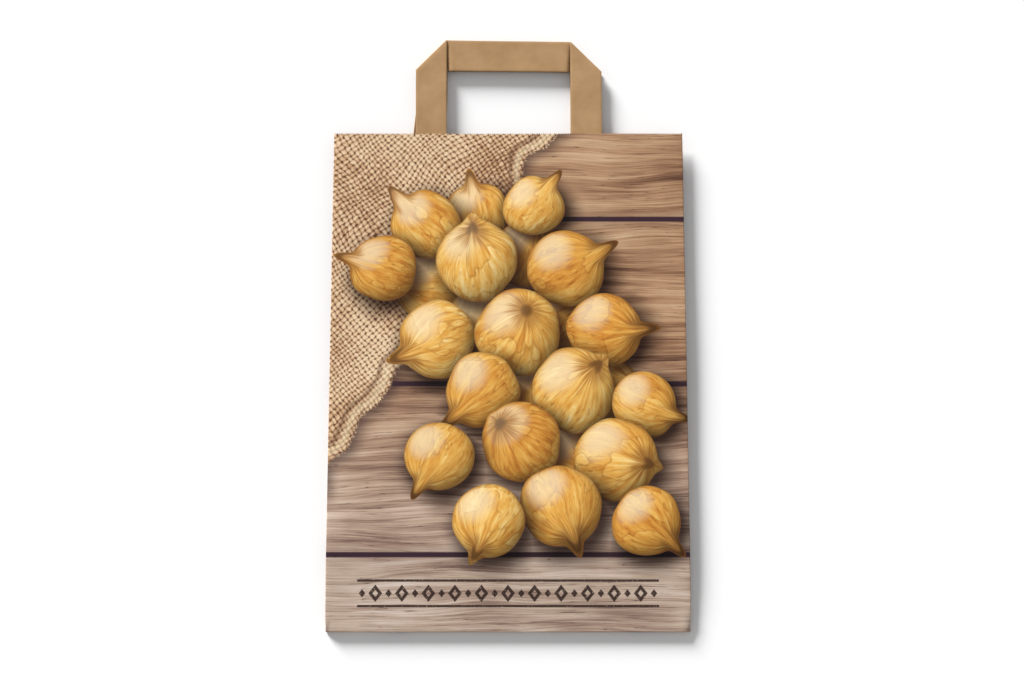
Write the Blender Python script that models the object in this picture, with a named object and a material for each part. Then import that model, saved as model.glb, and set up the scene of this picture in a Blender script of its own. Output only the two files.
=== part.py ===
"""Paper carrier bag, folded flat: a gusseted kraft paper bag with a block bottom and two flat handles.

Metres, +Z up. The bag lies on its back panel with its mouth and handles towards +Y and its front panel up.
The origin is under the middle of the bounding box, on the surface that the bag lies on.

The bag is one sheet of paper folded into layers. Each piece is worked out as a plan, seen from above, that
is cut into cells along its creases. Every cell holds the layers of paper over it, and walls where a crease
joins two layers. The body is the outside of all filled cells, and one function gives each level its height.
"""

import math

import bmesh
import bpy

MM = 0.001

# The sheet of the bag
WIDTH = 220 * MM  # across the front panel
GUSSET = 100 * MM  # depth of the side gussets and of the bottom, when the bag stands open
HEIGHT = 310 * MM  # from the bottom fold to the mouth
PAPER = 0.6 * MM  # thickness of one layer
GAP = 0.3 * MM  # air between two layers that lie on each other
SPRING = 0.6 * MM  # how far the folded gussets hold the panels further apart
RAMP = 45 * MM  # length over which the back panel comes down from the folded bottom to the floor
RAMP_ROWS = 8  # rows of cells in that ramp
RISE_ROWS = 8  # rows of cells where the front panel rises from the bottom fold
GUSSET_COLUMNS = 3  # columns of cells across half a gusset, where its layers slope

# The sawn edge of the mouth
TOOTH_PITCH = 2.2 * MM
TOOTH_DEPTH = 0.9 * MM
TOOTH_BAND = 3 * MM  # height of the row of cells that holds the teeth

# The handles
STRIP = 19.8 * MM  # width of the folded strip
HANDLE_PAPER = 0.6 * MM  # thickness of the strip
HANDLE_REACH = 60.5 * MM  # how far the handles stand out of the mouth
HANDLE_GLUED = 45 * MM  # length of each leg that is glued inside the panel
HANDLE_CLEAR = 0.5 * MM  # from the outer edge of a leg to the inner crease of the gusset
HANDLE_SAG = 2.0 * MM  # how far the front handle hangs down towards the back one at its bar
SAG_ROWS = 5  # rows of cells in that sag

# Worked out from these
SIDE = WIDTH / 2  # side edge of the panels, from the middle
HALF = GUSSET / 2  # height of the crease across the back panel
CREASE = SIDE - HALF  # inner crease of the gussets, from the middle
PITCH = PAPER + GAP  # height from one layer to the next
SLANT = PAPER * math.sqrt(2)  # a wall at 45 degrees, measured along X
NEST = HALF - PITCH  # the gusset's crease, which passes round the one of the back panel
TOP = HEIGHT + HANDLE_REACH  # outer edge of the handles' bars

# Layers of the bag's sheet, from the floor up
BOTTOM, BASE_FLAP, SMALL_FLAP, TURNED_BACK, BACK, BACK_GUSSET, FRONT_GUSSET, FRONT = range(8)
BACK_RISE = BACK * PITCH  # height of the back panel on the folded bottom
FRONT_LOW = 3 * PITCH  # height of the front panel at the bottom fold
FRONT_HIGH = FRONT * PITCH + SPRING  # and over the folded gussets


def ease(share):
    """0 to 1 with level ends, as share goes from 0 to 1."""
    share = min(1.0, max(0.0, share))
    return share * share * (3 - 2 * share)


def back_level(y):
    """Underside of the back panel: over the folded bottom, then down to the floor."""
    if y < HALF:
        return BACK_RISE * ease(y / HALF)
    return BACK_RISE * (1 - ease((y - GUSSET) / RAMP))


def front_level(y):
    """Underside of the front panel, which rises from the bottom fold."""
    return FRONT_LOW + (FRONT_HIGH - FRONT_LOW) * ease(y / HALF)


def body_height(x, y, level):
    """Height of a level of the bag: 2n is the underside of layer n, and 2n + 1 its upper side."""
    first, last = 2 * BASE_FLAP + 1, 2 * FRONT_GUSSET
    if y < NEST and first < level < last:
        low, high = body_height(x, y, first), body_height(x, y, last)
        return low + (high - low) * (level - first) / (last - first)
    layer, upper = divmod(level, 2)
    back, front = back_level(y), front_level(y)
    across = min(1.0, (SIDE - abs(x)) / max(min(y, HALF), GAP))
    if layer < BACK:
        low = layer * PITCH
    elif layer == BACK:
        low = back
    elif layer == BACK_GUSSET:
        low = (back + PITCH) * (1 - across) + (back + front - PITCH) / 2 * across
    elif layer == FRONT_GUSSET:
        low = (front - PITCH) * (1 - across) + (back + front + PITCH) / 2 * across
    else:
        low = front
    return low + PAPER * upper


def body_layers(x, y):
    """The layers of paper over a point of the plan."""
    a = abs(x)
    inside_flap = a - CREASE > y - HALF
    layers = {FRONT}
    if y < GUSSET:
        layers.add(BOTTOM)
    if y > HALF:
        layers.add(BACK)
    if HALF < y < GUSSET:
        layers.add(TURNED_BACK)
    if a > CREASE and y > NEST:
        layers.update((BACK_GUSSET, FRONT_GUSSET))
    if a > CREASE and y > NEST and inside_flap:
        layers.update((BASE_FLAP, SMALL_FLAP))
    if y < NEST and a + y > SIDE:
        layers.update((BASE_FLAP, FRONT_GUSSET))
    return layers


def body_walls(x, y):
    """The pairs of layers that a crease joins over a point of the plan, lowest and highest."""
    a = abs(x)
    at_side = a > SIDE - PAPER
    past_crease = a - CREASE
    low_slant = a + y - SIDE
    high_slant = past_crease - (y - HALF)
    creases = (
        (y < PAPER, BOTTOM, FRONT),
        (at_side, FRONT_GUSSET, FRONT),
        (at_side and y > NEST, BACK, BACK_GUSSET),
        (at_side and NEST < y < GUSSET, SMALL_FLAP, TURNED_BACK),
        (at_side and NEST < y < HALF, SMALL_FLAP, BACK_GUSSET),
        (at_side and y < GUSSET, BOTTOM, BASE_FLAP),
        (HALF < y < HALF + PAPER, TURNED_BACK, BACK),
        (past_crease > 0 and NEST < y < NEST + PAPER, SMALL_FLAP, BACK_GUSSET),
        (0 < past_crease < PAPER and y > NEST, BACK_GUSSET, FRONT_GUSSET),
        (GUSSET - PAPER < y < GUSSET, BOTTOM, TURNED_BACK),
        (NEST < y < HALF and 0 < past_crease < SLANT, BASE_FLAP, SMALL_FLAP),
        (HALF < y < GUSSET and 0 < high_slant < SLANT, BASE_FLAP, SMALL_FLAP),
        (y < NEST and 0 < low_slant < SLANT, BASE_FLAP, FRONT_GUSSET),
        (NEST < y < NEST + PAPER and 0 < past_crease < PITCH + SLANT, BASE_FLAP, FRONT_GUSSET),
    )
    return [(low, high) for found, low, high in creases if found]


def cut(plan, x, y, direction, y_low=-math.inf, y_high=math.inf):
    """Cuts the cells between two heights along a line through x, y, and along its mirror image in X."""
    for mirror in (1, -1):
        faces = [f for f in plan.faces if y_low < f.calc_center_median().y < y_high]
        edges = {e for f in faces for e in f.edges}
        verts = {v for f in faces for v in f.verts}
        normal = (direction[0] * mirror, direction[1], 0)
        bmesh.ops.bisect_plane(
            plan, geom=faces + list(edges) + list(verts), dist=1e-7, plane_co=(x * mirror, y, 0), plane_no=normal
        )


def rectangle(half_width, y_low, y_high):
    """A plan of one cell."""
    plan = bmesh.new()
    corners = ((-half_width, y_low), (half_width, y_low), (half_width, y_high), (-half_width, y_high))
    plan.faces.new([plan.verts.new((x, y, 0)) for x, y in corners])
    return plan


def body_plan():
    """The plan of the bag, cut along its creases and the rows of its slopes, with a sawn mouth."""
    plan = rectangle(SIDE, 0, HEIGHT)
    along, across, up, down = (0, 1), (1, 0), (1, 1), (1, -1)
    rows = [PAPER, NEST, NEST + PAPER, HALF, HALF + PAPER, GUSSET - PAPER, GUSSET, HEIGHT - TOOTH_BAND]
    rows += [NEST * row / RISE_ROWS for row in range(1, RISE_ROWS)]
    rows += [GUSSET + RAMP * row / RAMP_ROWS for row in range(1, RAMP_ROWS + 1)]
    for y in rows:
        cut(plan, 0, y, along)
    cut(plan, SIDE - PAPER, 0, across)
    cut(plan, CREASE, 0, across, NEST)
    cut(plan, CREASE + PAPER, 0, across, NEST)
    cut(plan, CREASE + SLANT, 0, across, NEST, HALF)
    cut(plan, CREASE + PITCH + SLANT, 0, across, NEST, NEST + PAPER)
    for column in range(1, GUSSET_COLUMNS):
        cut(plan, CREASE + HALF * column / GUSSET_COLUMNS, 0, across, GUSSET, HEIGHT - TOOTH_BAND)
    for offset in (0, SLANT):
        cut(plan, SIDE + offset, 0, up, y_high=NEST)
        cut(plan, CREASE + offset, HALF, down, HALF, GUSSET)
    teeth = round(WIDTH / TOOTH_PITCH)
    step = SIDE / teeth
    for place in range(1, teeth):
        cut(plan, place * step, 0, across, HEIGHT - TOOTH_BAND)
    cut(plan, 0, 0, across, HEIGHT - TOOTH_BAND)
    for vert in plan.verts:
        if vert.co.y > HEIGHT - TOOTH_BAND / 2:
            turn = (vert.co.x / step) % 2
            vert.co.y -= TOOTH_DEPTH * min(turn, 2 - turn)
    return plan


def handle_plan():
    """The plan of a handle, cut along its edges, its folded corners and the rows of its sag."""
    outer = CREASE - HANDLE_CLEAR
    inner = outer - STRIP
    slant = HANDLE_PAPER * math.sqrt(2)
    plan = rectangle(outer, HEIGHT - HANDLE_GLUED, TOP)
    cut(plan, inner, 0, (1, 0))
    cut(plan, 0, TOP - STRIP, (0, 1))
    for row in range(SAG_ROWS):
        cut(plan, 0, HEIGHT + HANDLE_REACH * row / SAG_ROWS, (0, 1))
    for offset in (0, slant):
        cut(plan, inner, TOP - offset, (1, 1), TOP - STRIP - slant)
    return plan


def handle_cells(legs_on_top):
    """The layers, walls and heights of a handle, whose bar lies behind its legs as seen from its own side."""
    inner = CREASE - HANDLE_CLEAR - STRIP
    slant = HANDLE_PAPER * math.sqrt(2)
    bar, leg = (0, 1) if legs_on_top else (1, 0)
    pitch = HANDLE_PAPER + GAP

    def layers(x, y):
        short_of_fold = TOP - y > abs(x) - inner
        found = set()
        if abs(x) > inner and short_of_fold:
            found.add(leg)
        if y > TOP - STRIP and short_of_fold:
            found.add(bar)
        return found

    def walls(x, y):
        to_fold = (TOP - y) - (abs(x) - inner)
        at_fold = abs(x) > inner and y > TOP - STRIP - slant and 0 < to_fold < slant
        return [(0, 1)] if at_fold else []

    def height(x, y, level):
        layer, upper = divmod(level, 2)
        sag = HANDLE_SAG * ease((y - HEIGHT) / HANDLE_REACH) if legs_on_top else 0
        if legs_on_top:
            lowest = FRONT_HIGH - GAP - HANDLE_PAPER - pitch
        else:
            lowest = back_level(HEIGHT) + PAPER + GAP
        return lowest + layer * pitch + HANDLE_PAPER * upper - sag

    return layers, walls, height


def filled_slots(x, y, layers, walls):
    """The slots that hold paper over a point: slot 2n is layer n, and slot 2n + 1 the air above it."""
    slots = {2 * layer for layer in layers(x, y)}
    for low, high in walls(x, y):
        slots.update(range(2 * low, 2 * high + 1))
    return slots


def runs(slots):
    """Slots that follow each other, as pairs of the first and last level."""
    found = []
    for slot in sorted(slots):
        if found and found[-1][1] == slot:
            found[-1][1] = slot + 1
        else:
            found.append([slot, slot + 1])
    return found


def folded(name, plan, layers, walls, height, material):
    """Makes one closed object out of the filled cells of a plan, and adds it to the scene."""
    filled = {}
    for face in plan.faces:
        middle = face.calc_center_median()
        filled[face] = filled_slots(middle.x, middle.y, layers, walls)
    loops = []
    sides = []
    for face, slots in filled.items():
        for low, high in runs(slots):
            loops.append([(vert, high) for vert in face.verts])
            loops.append([(vert, low) for vert in reversed(face.verts)])
        for loop in face.loops:
            beside = [filled[other] for other in loop.edge.link_faces if other != face]
            open_slots = slots - (beside[0] if beside else set())
            for low, high in runs(open_slots):
                sides.append((loop.vert, loop.link_loop_next.vert, low, high))
    used = {corner for outline in loops for corner in outline}
    for start, end, low, high in sides:
        used.update((vert, level) for vert in (start, end) for level in (low, high))
    for start, end, low, high in sides:
        rising = [(end, level) for level in range(low, high + 1) if (end, level) in used]
        falling = [(start, level) for level in range(high, low - 1, -1) if (start, level) in used]
        loops.append(rising + falling)

    body = bmesh.new()
    made = {}
    for outline in loops:
        for vert, level in outline:
            if (vert, level) not in made:
                x, y = vert.co.x, vert.co.y
                made[vert, level] = body.verts.new((x, y, height(x, y, level)))
        body.faces.new([made[corner] for corner in outline])
    plan.free()
    bmesh.ops.triangulate(body, faces=body.faces[:])
    mesh = bpy.data.meshes.new(name)
    body.to_mesh(mesh)
    body.free()
    mesh.materials.append(material)
    piece = bpy.data.objects.new(name, mesh)
    piece.location = (0, -TOP / 2, 0)
    bpy.context.scene.collection.objects.link(piece)
    return piece


def paper(name, colour, roughness):
    """A dull paper, in linear red, green and blue."""
    material = bpy.data.materials.new(name)
    material.use_nodes = True
    shader = material.node_tree.nodes["Principled BSDF"]
    shader.inputs["Base Color"].default_value = (*colour, 1)
    shader.inputs["Roughness"].default_value = roughness
    shader.inputs["Metallic"].default_value = 0
    return material


def main():
    for old in list(bpy.data.objects):
        bpy.data.objects.remove(old, do_unlink=True)
    printed = paper("printed_kraft", (0.46, 0.29, 0.17), 0.7)
    plain = paper("plain_kraft", (0.43, 0.27, 0.14), 0.8)
    folded("bag_body", body_plan(), body_layers, body_walls, body_height, printed)
    folded("front_handle", handle_plan(), *handle_cells(legs_on_top=True), plain)
    folded("back_handle", handle_plan(), *handle_cells(legs_on_top=False), plain)


main()
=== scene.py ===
"""The looks of a paper carrier bag that lies folded flat: its printed kraft sheet and its two flat handles.

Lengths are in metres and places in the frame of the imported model: +Y runs from the bottom fold to the mouth
and the handles, +Z up through the front panel. Inside the bag's own classes, y is counted from the bottom
fold. The print is laid out in millimetres on the unfolded sheet, with its zero under the middle of the front.
"""

from __future__ import annotations

import logging
import math
from dataclasses import dataclass, field
from enum import Enum, IntEnum

import bmesh
import bpy
import numpy as np
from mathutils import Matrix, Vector


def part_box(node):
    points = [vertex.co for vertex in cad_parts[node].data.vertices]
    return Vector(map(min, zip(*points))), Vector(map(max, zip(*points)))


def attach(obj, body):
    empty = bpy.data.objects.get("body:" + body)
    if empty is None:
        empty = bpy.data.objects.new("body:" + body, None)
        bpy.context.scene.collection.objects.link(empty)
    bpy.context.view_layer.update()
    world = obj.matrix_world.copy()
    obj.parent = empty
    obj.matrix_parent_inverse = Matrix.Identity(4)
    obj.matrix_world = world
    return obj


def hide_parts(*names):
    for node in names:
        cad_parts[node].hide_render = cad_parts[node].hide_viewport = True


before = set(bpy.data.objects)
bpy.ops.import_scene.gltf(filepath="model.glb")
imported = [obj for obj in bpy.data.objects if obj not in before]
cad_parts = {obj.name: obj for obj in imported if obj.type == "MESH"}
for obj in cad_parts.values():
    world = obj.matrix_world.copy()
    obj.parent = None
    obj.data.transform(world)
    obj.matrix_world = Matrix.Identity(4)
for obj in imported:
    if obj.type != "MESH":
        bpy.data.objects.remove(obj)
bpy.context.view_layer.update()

LOG = logging.getLogger("paper_bag")
MM = 0.001
BODY = "root"
UV_NAME = "Print"
PRINTED_SLOT, PLAIN_SLOT = "printed_kraft", "plain_kraft"

Socket = bpy.types.NodeSocket
MATH, VECTOR = "ShaderNodeMath", "ShaderNodeVectorMath"
NOISE, RAMP, RANGE = "ShaderNodeTexNoise", "ShaderNodeValToRGB", "ShaderNodeMapRange"
JOIN, SPLIT, MIX = "ShaderNodeCombineXYZ", "ShaderNodeSeparateXYZ", "ShaderNodeMix"
SMOOTH = {"interpolation_type": "SMOOTHSTEP"}
PAINT = {"data_type": "RGBA", "out": 2}


def linear(hex_colour: str) -> tuple[float, float, float]:
    """Turns an sRGB hex colour to linear red, green and blue.

    Args:
        hex_colour: six hex digits after a hash sign.

    Returns:
        The three linear values.
    """
    parts = [int(hex_colour[i : i + 2], 16) / 255 for i in (1, 3, 5)]
    return tuple(p / 12.92 if p <= 0.04045 else ((p + 0.055) / 1.055) ** 2.4 for p in parts)


def rgba(hex_colour: str) -> tuple[float, float, float, float]:
    """An sRGB hex colour as four linear values, with full alpha."""
    return (*linear(hex_colour), 1.0)


def ease(share: np.ndarray) -> np.ndarray:
    """0 to 1 with level ends: 3 times the square of the share less 2 times its cube."""
    share = np.clip(share, 0.0, 1.0)
    return share * share * (3 - 2 * share)


class NodeTree:
    """The nodes of a material or of a group, laid down one at a time."""

    def __init__(self, tree: bpy.types.NodeTree) -> None:
        """Args:
            tree: Blender's node tree.
        """
        self.tree = tree

    def add(
        self, kind: str, *inputs: object, out: int | str = 0, stops: tuple = (), **settings: object
    ) -> Socket:
        """Adds a node with its settings and links.

        Args:
            kind: the node's type.
            inputs: sockets or plain values in the order of the node's inputs, None to leave one alone, or one
                dictionary of them by index or name.
            out: index or name of the output to return.
            stops: places and hex colours of a colour ramp.
            settings: the node's own properties.

        Returns:
            The chosen output socket.
        """
        node = self.tree.nodes.new(kind)
        for name, value in settings.items():
            setattr(node, name, value)
        chosen = inputs[0] if inputs and isinstance(inputs[0], dict) else dict(enumerate(inputs))
        for place, value in chosen.items():
            if isinstance(value, Socket):
                self.tree.links.new(value, node.inputs[place])
            elif value is not None:
                node.inputs[place].default_value = value
        for count, (place, colour) in enumerate(stops):
            elements = node.color_ramp.elements
            element = elements[count] if count < 2 else elements.new(place)
            element.position = place
            element.color = rgba(colour)
        return node.outputs[out]


@dataclass(frozen=True)
class Onion:
    """One painted onion of the print.

    Attributes:
        u: place across the front, in millimetres from the middle.
        v: place up from the bottom fold, in millimetres.
        radius: in millimetres.
        turn: direction of its neck in the picture, in degrees from the right.
        lean: how far the neck leans towards the viewer, in degrees.
        tint: 0 for pale gold to 1 for copper brown.
    """

    u: float
    v: float
    radius: float
    turn: float
    lean: float
    tint: float

    def neck(self) -> Vector:
        """Direction of the neck, with Z towards the viewer."""
        turn, lean = math.radians(self.turn), math.radians(self.lean)
        return Vector((math.cos(turn) * math.cos(lean), math.sin(turn) * math.cos(lean), math.sin(lean)))


# From the back of the heap to its front
ONIONS = (
    Onion(-20, 258, 20, 100, 25, 0.45),
    Onion(12, 232, 22, 70, 30, 0.60),
    Onion(-48, 212, 23, 175, 30, 0.35),
    Onion(30, 190, 22, 30, 35, 0.55),
    Onion(-14, 190, 23, 240, 30, 0.30),
    Onion(20, 148, 23, 100, 40, 0.50),
    Onion(60, 146, 22, 10, 30, 0.35),
    Onion(40, 104, 22, -20, 30, 0.60),
    Onion(-52, 250, 22, 135, 18, 0.40),
    Onion(16, 262, 19, 52, 20, 0.30),
    Onion(-78, 222, 21, 165, 24, 0.55),
    Onion(-20, 228, 26, 98, 46, 0.20),
    Onion(36, 222, 24, 28, 22, 0.50),
    Onion(-44, 178, 24, 205, 30, 0.25),
    Onion(6, 182, 27, 66, 58, 0.35),
    Onion(60, 184, 23, 2, 28, 0.60),
    Onion(-16, 146, 23, 222, 26, 0.50),
    Onion(40, 146, 26, 48, 44, 0.25),
    Onion(84, 138, 20, -22, 20, 0.45),
    Onion(8, 114, 24, 140, 50, 0.60),
    Onion(66, 104, 25, -10, 46, 0.30),
    Onion(-42, 106, 21, 238, 22, 0.35),
    Onion(32, 76, 25, -72, 34, 0.45),
    Onion(84, 66, 21, -42, 24, 0.55),
    Onion(-12, 66, 22, -112, 38, 0.25),
)
SHADE_OFFSET = (0.17, -0.22, 0.0)
LIGHT_OF_PRINT = Vector((-0.40, 0.52, 0.76)).normalized()
# How far slow noise pushes the outlines, in millimetres
UNEVEN = 7.0


class OnionPainter:
    """Paints a heap of onions over a picture.

    A light group runs once for each onion and keeps, for the place that is looked at, which onion is on
    top and how deep the shade is. The skin is then painted once, for that onion.
    """

    def __init__(self) -> None:
        """Makes the group that every onion shares."""
        self.group = bpy.data.node_groups.new("onion_on_top", "ShaderNodeTree")
        vectors = ("Place", "Ball", "Neck", "Card", "Centre", "Way", "Own neck", "Own card")
        for name in (*vectors, "Shade", "Nearness", "Reach"):
            kind = "NodeSocketVector" if name in vectors else "NodeSocketFloat"
            self.group.interface.new_socket(name, in_out="INPUT", socket_type=kind)
        for name in ("Ball", "Neck", "Card", "Shade"):
            kind = "NodeSocketVector" if name in vectors else "NodeSocketFloat"
            self.group.interface.new_socket(name, in_out="OUTPUT", socket_type=kind)
        tree = NodeTree(self.group)
        given = self.group.nodes.new("NodeGroupInput").outputs
        found = self.find(tree, given)
        ending = self.group.nodes.new("NodeGroupOutput")
        for name, socket in found.items():
            tree.tree.links.new(socket, ending.inputs[name])

    def find(self, tree: NodeTree, given: object) -> dict[str, Socket]:
        """Lays down the group's nodes.

        The place is taken from the onion's centre and divided by its radius. Towards the neck it is shrunk
        by a narrow bump, which draws the outline out to a point. Where it is then nearer than 1, the onion
        covers what was found so far, and elsewhere near it the shade deepens.

        Args:
            tree: the group's nodes.
            given: the group's inputs.

        Returns:
            What is found, by the names of the group's outputs.
        """
        off = tree.add(VECTOR, given["Place"], given["Centre"], operation="SUBTRACT")
        flat = tree.add(VECTOR, {0: off, "Scale": given["Nearness"]}, operation="SCALE")
        far = tree.add(VECTOR, flat, operation="LENGTH", out="Value")
        along = tree.add(VECTOR, flat, given["Way"], operation="DOT_PRODUCT", out="Value")
        toward = tree.add(MATH, tree.add(MATH, along, far, operation="DIVIDE"), 0.0, operation="MAXIMUM")
        point = tree.add(MATH, toward, 95.0, operation="POWER")
        stretch = tree.add(MATH, point, given["Reach"], 1.0, operation="MULTIPLY_ADD")
        shrink = tree.add(MATH, 1.0, stretch, operation="DIVIDE")
        ball = tree.add(VECTOR, {0: flat, "Scale": shrink}, operation="SCALE")
        inside = tree.add(MATH, far, stretch, operation="LESS_THAN")

        gap = tree.add(VECTOR, flat, SHADE_OFFSET, operation="DISTANCE", out="Value")
        deep = tree.add(RANGE, gap, 1.58, 0.82, 0.0, 0.95, **SMOOTH)
        deep = tree.add(MATH, given["Shade"], deep, operation="MAXIMUM")
        outside = tree.add(MATH, 1.0, inside, operation="SUBTRACT")
        found = {"Shade": tree.add(MATH, deep, outside, operation="MULTIPLY")}
        for name, own in (("Ball", ball), ("Neck", given["Own neck"]), ("Card", given["Own card"])):
            found[name] = tree.add(MIX, {0: inside, 4: given[name], 5: own}, data_type="VECTOR", out=1)
        return found

    def skin(self, tree: NodeTree, ball: Socket, neck: Socket, card: Socket) -> Socket:
        """Paints the skin of the onion on top.

        A ball's normal over the place gives the light, and its angles round the neck give the long lines
        of the skin. Low, slow noise marks off flakes of the outer skin.

        Args:
            tree: the material's nodes.
            ball: the place on the onion, in its own radii.
            neck: direction of its neck.
            card: its number, and its tint.

        Returns:
            The colour.
        """
        number = tree.add(SPLIT, card, out=0)
        tint = tree.add(SPLIT, card, out=1)
        square = tree.add(VECTOR, ball, ball, operation="DOT_PRODUCT", out="Value")
        rest = tree.add(MATH, 1.0, square, operation="SUBTRACT", use_clamp=True)
        height = tree.add(MATH, rest, operation="SQRT")
        normal = tree.add(VECTOR, ball, tree.add(JOIN, 0.0, 0.0, height), operation="ADD")
        lean = tree.add(SPLIT, neck, out=2)
        behind = tree.add(VECTOR, {0: neck, "Scale": lean}, operation="SCALE")
        face = tree.add(VECTOR, (0.0, 0.0, 1.0), behind, operation="SUBTRACT")
        face = tree.add(VECTOR, face, operation="NORMALIZE")
        side = tree.add(VECTOR, neck, face, operation="CROSS_PRODUCT")
        along = tree.add(VECTOR, normal, neck, operation="DOT_PRODUCT", out="Value")
        to_side = tree.add(VECTOR, normal, side, operation="DOT_PRODUCT", out="Value")
        to_face = tree.add(VECTOR, normal, face, operation="DOT_PRODUCT", out="Value")
        turn = tree.add(MATH, to_side, to_face, operation="ARCTAN2")

        lane = tree.add(JOIN, turn, tree.add(MATH, along, 0.22, operation="MULTIPLY"), number)
        stripe = tree.add(NOISE, {"Vector": lane, "Scale": 6.5, "Detail": 4.0, "Roughness": 0.68})
        vein = tree.add(NOISE, {"Vector": lane, "Scale": 15.0, "Detail": 1.0})
        slow = tree.add(JOIN, tree.add(MATH, turn, 1.5, operation="MULTIPLY"), along, number)
        flakes = {"Vector": slow, "Scale": 0.9, "Detail": 2.0, "Roughness": 0.45, "Distortion": 0.3}
        flake = tree.add(NOISE, flakes)
        outer = tree.add(RANGE, flake, 0.535, 0.555, 0.0, 1.0, **SMOOTH)
        torn = tree.add(RANGE, flake, 0.515, 0.545, 0.0, 1.0, **SMOOTH)
        lip = tree.add(MATH, torn, outer, operation="SUBTRACT")

        tone = tree.add(MATH, tint, 0.34, -0.10, operation="MULTIPLY_ADD")
        tone = tree.add(MATH, stripe, 0.80, tone, operation="MULTIPLY_ADD")
        tone = tree.add(MATH, flake, 0.30, tone, operation="MULTIPLY_ADD")
        tone = tree.add(MATH, outer, -0.09, tone, operation="MULTIPLY_ADD")
        pale, brown = (0.30, "#F4DBA2"), (0.82, "#A05C20")
        golds = (0.43, "#E8BD6B"), (0.55, "#DAA24B"), (0.68, "#C58333")
        skin = tree.add(RAMP, tone, stops=(pale, brown, *golds))
        thin = tree.add(RANGE, vein, 0.40, 0.30, 0.0, 0.42, **SMOOTH)
        skin = tree.add(MIX, {0: thin, 6: skin, 7: rgba("#8A4E1E")}, **PAINT)
        edge = tree.add(MATH, lip, 0.35, operation="MULTIPLY")
        skin = tree.add(MIX, {0: edge, 6: skin, 7: rgba("#7B4519")}, **PAINT)
        ragged = tree.add(MATH, stripe, 0.30, along, operation="MULTIPLY_ADD")
        dry = tree.add(RANGE, ragged, 0.99, 1.15, 0.0, 0.85, **SMOOTH)
        skin = tree.add(MIX, {0: dry, 6: skin, 7: rgba("#9A662E")}, **PAINT)
        tip = tree.add(RANGE, along, 0.975, 0.999, 0.0, 0.75, **SMOOTH)
        skin = tree.add(MIX, {0: tip, 6: skin, 7: rgba("#553519")}, **PAINT)
        root = tree.add(RANGE, along, -0.93, -0.985, 0.0, 0.7, **SMOOTH)
        skin = tree.add(MIX, {0: root, 6: skin, 7: rgba("#9A7A52")}, **PAINT)

        lit = tree.add(VECTOR, normal, tuple(LIGHT_OF_PRINT), operation="DOT_PRODUCT", out="Value")
        bright = tree.add(RANGE, lit, -0.45, 0.85, 0.26, 1.10, **SMOOTH)
        painted = tree.add(VECTOR, {0: skin, "Scale": bright}, operation="SCALE")
        rim = tree.add(RANGE, height, 0.0, 0.50, 0.55, 0.0, **SMOOTH)
        painted = tree.add(MIX, {0: rim, 6: painted, 7: rgba("#6A3B1E")}, **PAINT)
        sheen = tree.add(MATH, stripe, 0.22, lit, operation="MULTIPLY_ADD")
        shine = tree.add(RANGE, sheen, 0.86, 1.12, 0.0, 0.50, **SMOOTH)
        shine = tree.add(MATH, shine, tree.add(MATH, 1.0, dry, operation="SUBTRACT"), operation="MULTIPLY")
        return tree.add(MIX, {0: shine, 6: painted, 7: rgba("#FFF2CE")}, **PAINT)

    def over(self, tree: NodeTree, below: Socket, place: Socket, onions: tuple[Onion, ...]) -> Socket:
        """Paints the heap over a picture.

        Args:
            tree: the material's nodes.
            below: the picture so far.
            place: the place on the sheet, in millimetres.
            onions: what to paint, the backmost first.

        Returns:
            The new picture.
        """
        uneven = tree.add(NOISE, {"Vector": place, "Scale": 0.030, "Detail": 1.0}, out=1)
        push = tree.add(VECTOR, uneven, (0.5, 0.5, 0.5), operation="SUBTRACT")
        push = tree.add(VECTOR, push, (UNEVEN, UNEVEN, 0.0), operation="MULTIPLY")
        place = tree.add(VECTOR, place, push, operation="ADD")
        found = {"Ball": (0.0, 0.0, 0.0), "Neck": (0.0, 1.0, 0.0), "Card": (0.0, 0.0, 0.0), "Shade": 0.0}
        for count, onion in enumerate(onions):
            neck = onion.neck()
            own = {
                "Place": place,
                "Centre": (onion.u, onion.v, 0.0),
                "Nearness": 1 / onion.radius,
                "Way": tuple(Vector((neck.x, neck.y, 0.0)).normalized()),
                "Reach": max(0.0, 1.66 * math.hypot(neck.x, neck.y) - 1.0),
                "Own neck": tuple(neck),
                "Own card": (count + 1.0, onion.tint, 0.0),
            }
            ball = tree.add("ShaderNodeGroup", found | own, node_tree=self.group)
            found = {output.name: output for output in ball.node.outputs}
        skin = self.skin(tree, found["Ball"], found["Neck"], found["Card"])
        covered = tree.add(MATH, tree.add(SPLIT, found["Card"], out=0), 0.5, operation="GREATER_THAN")
        picture = tree.add(MIX, {0: covered, 6: below, 7: skin}, **PAINT)
        shade = {0: found["Shade"], 6: picture, 7: rgba("#3C2826")}
        return tree.add(MIX, shade, blend_type="MULTIPLY", **PAINT)


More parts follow.
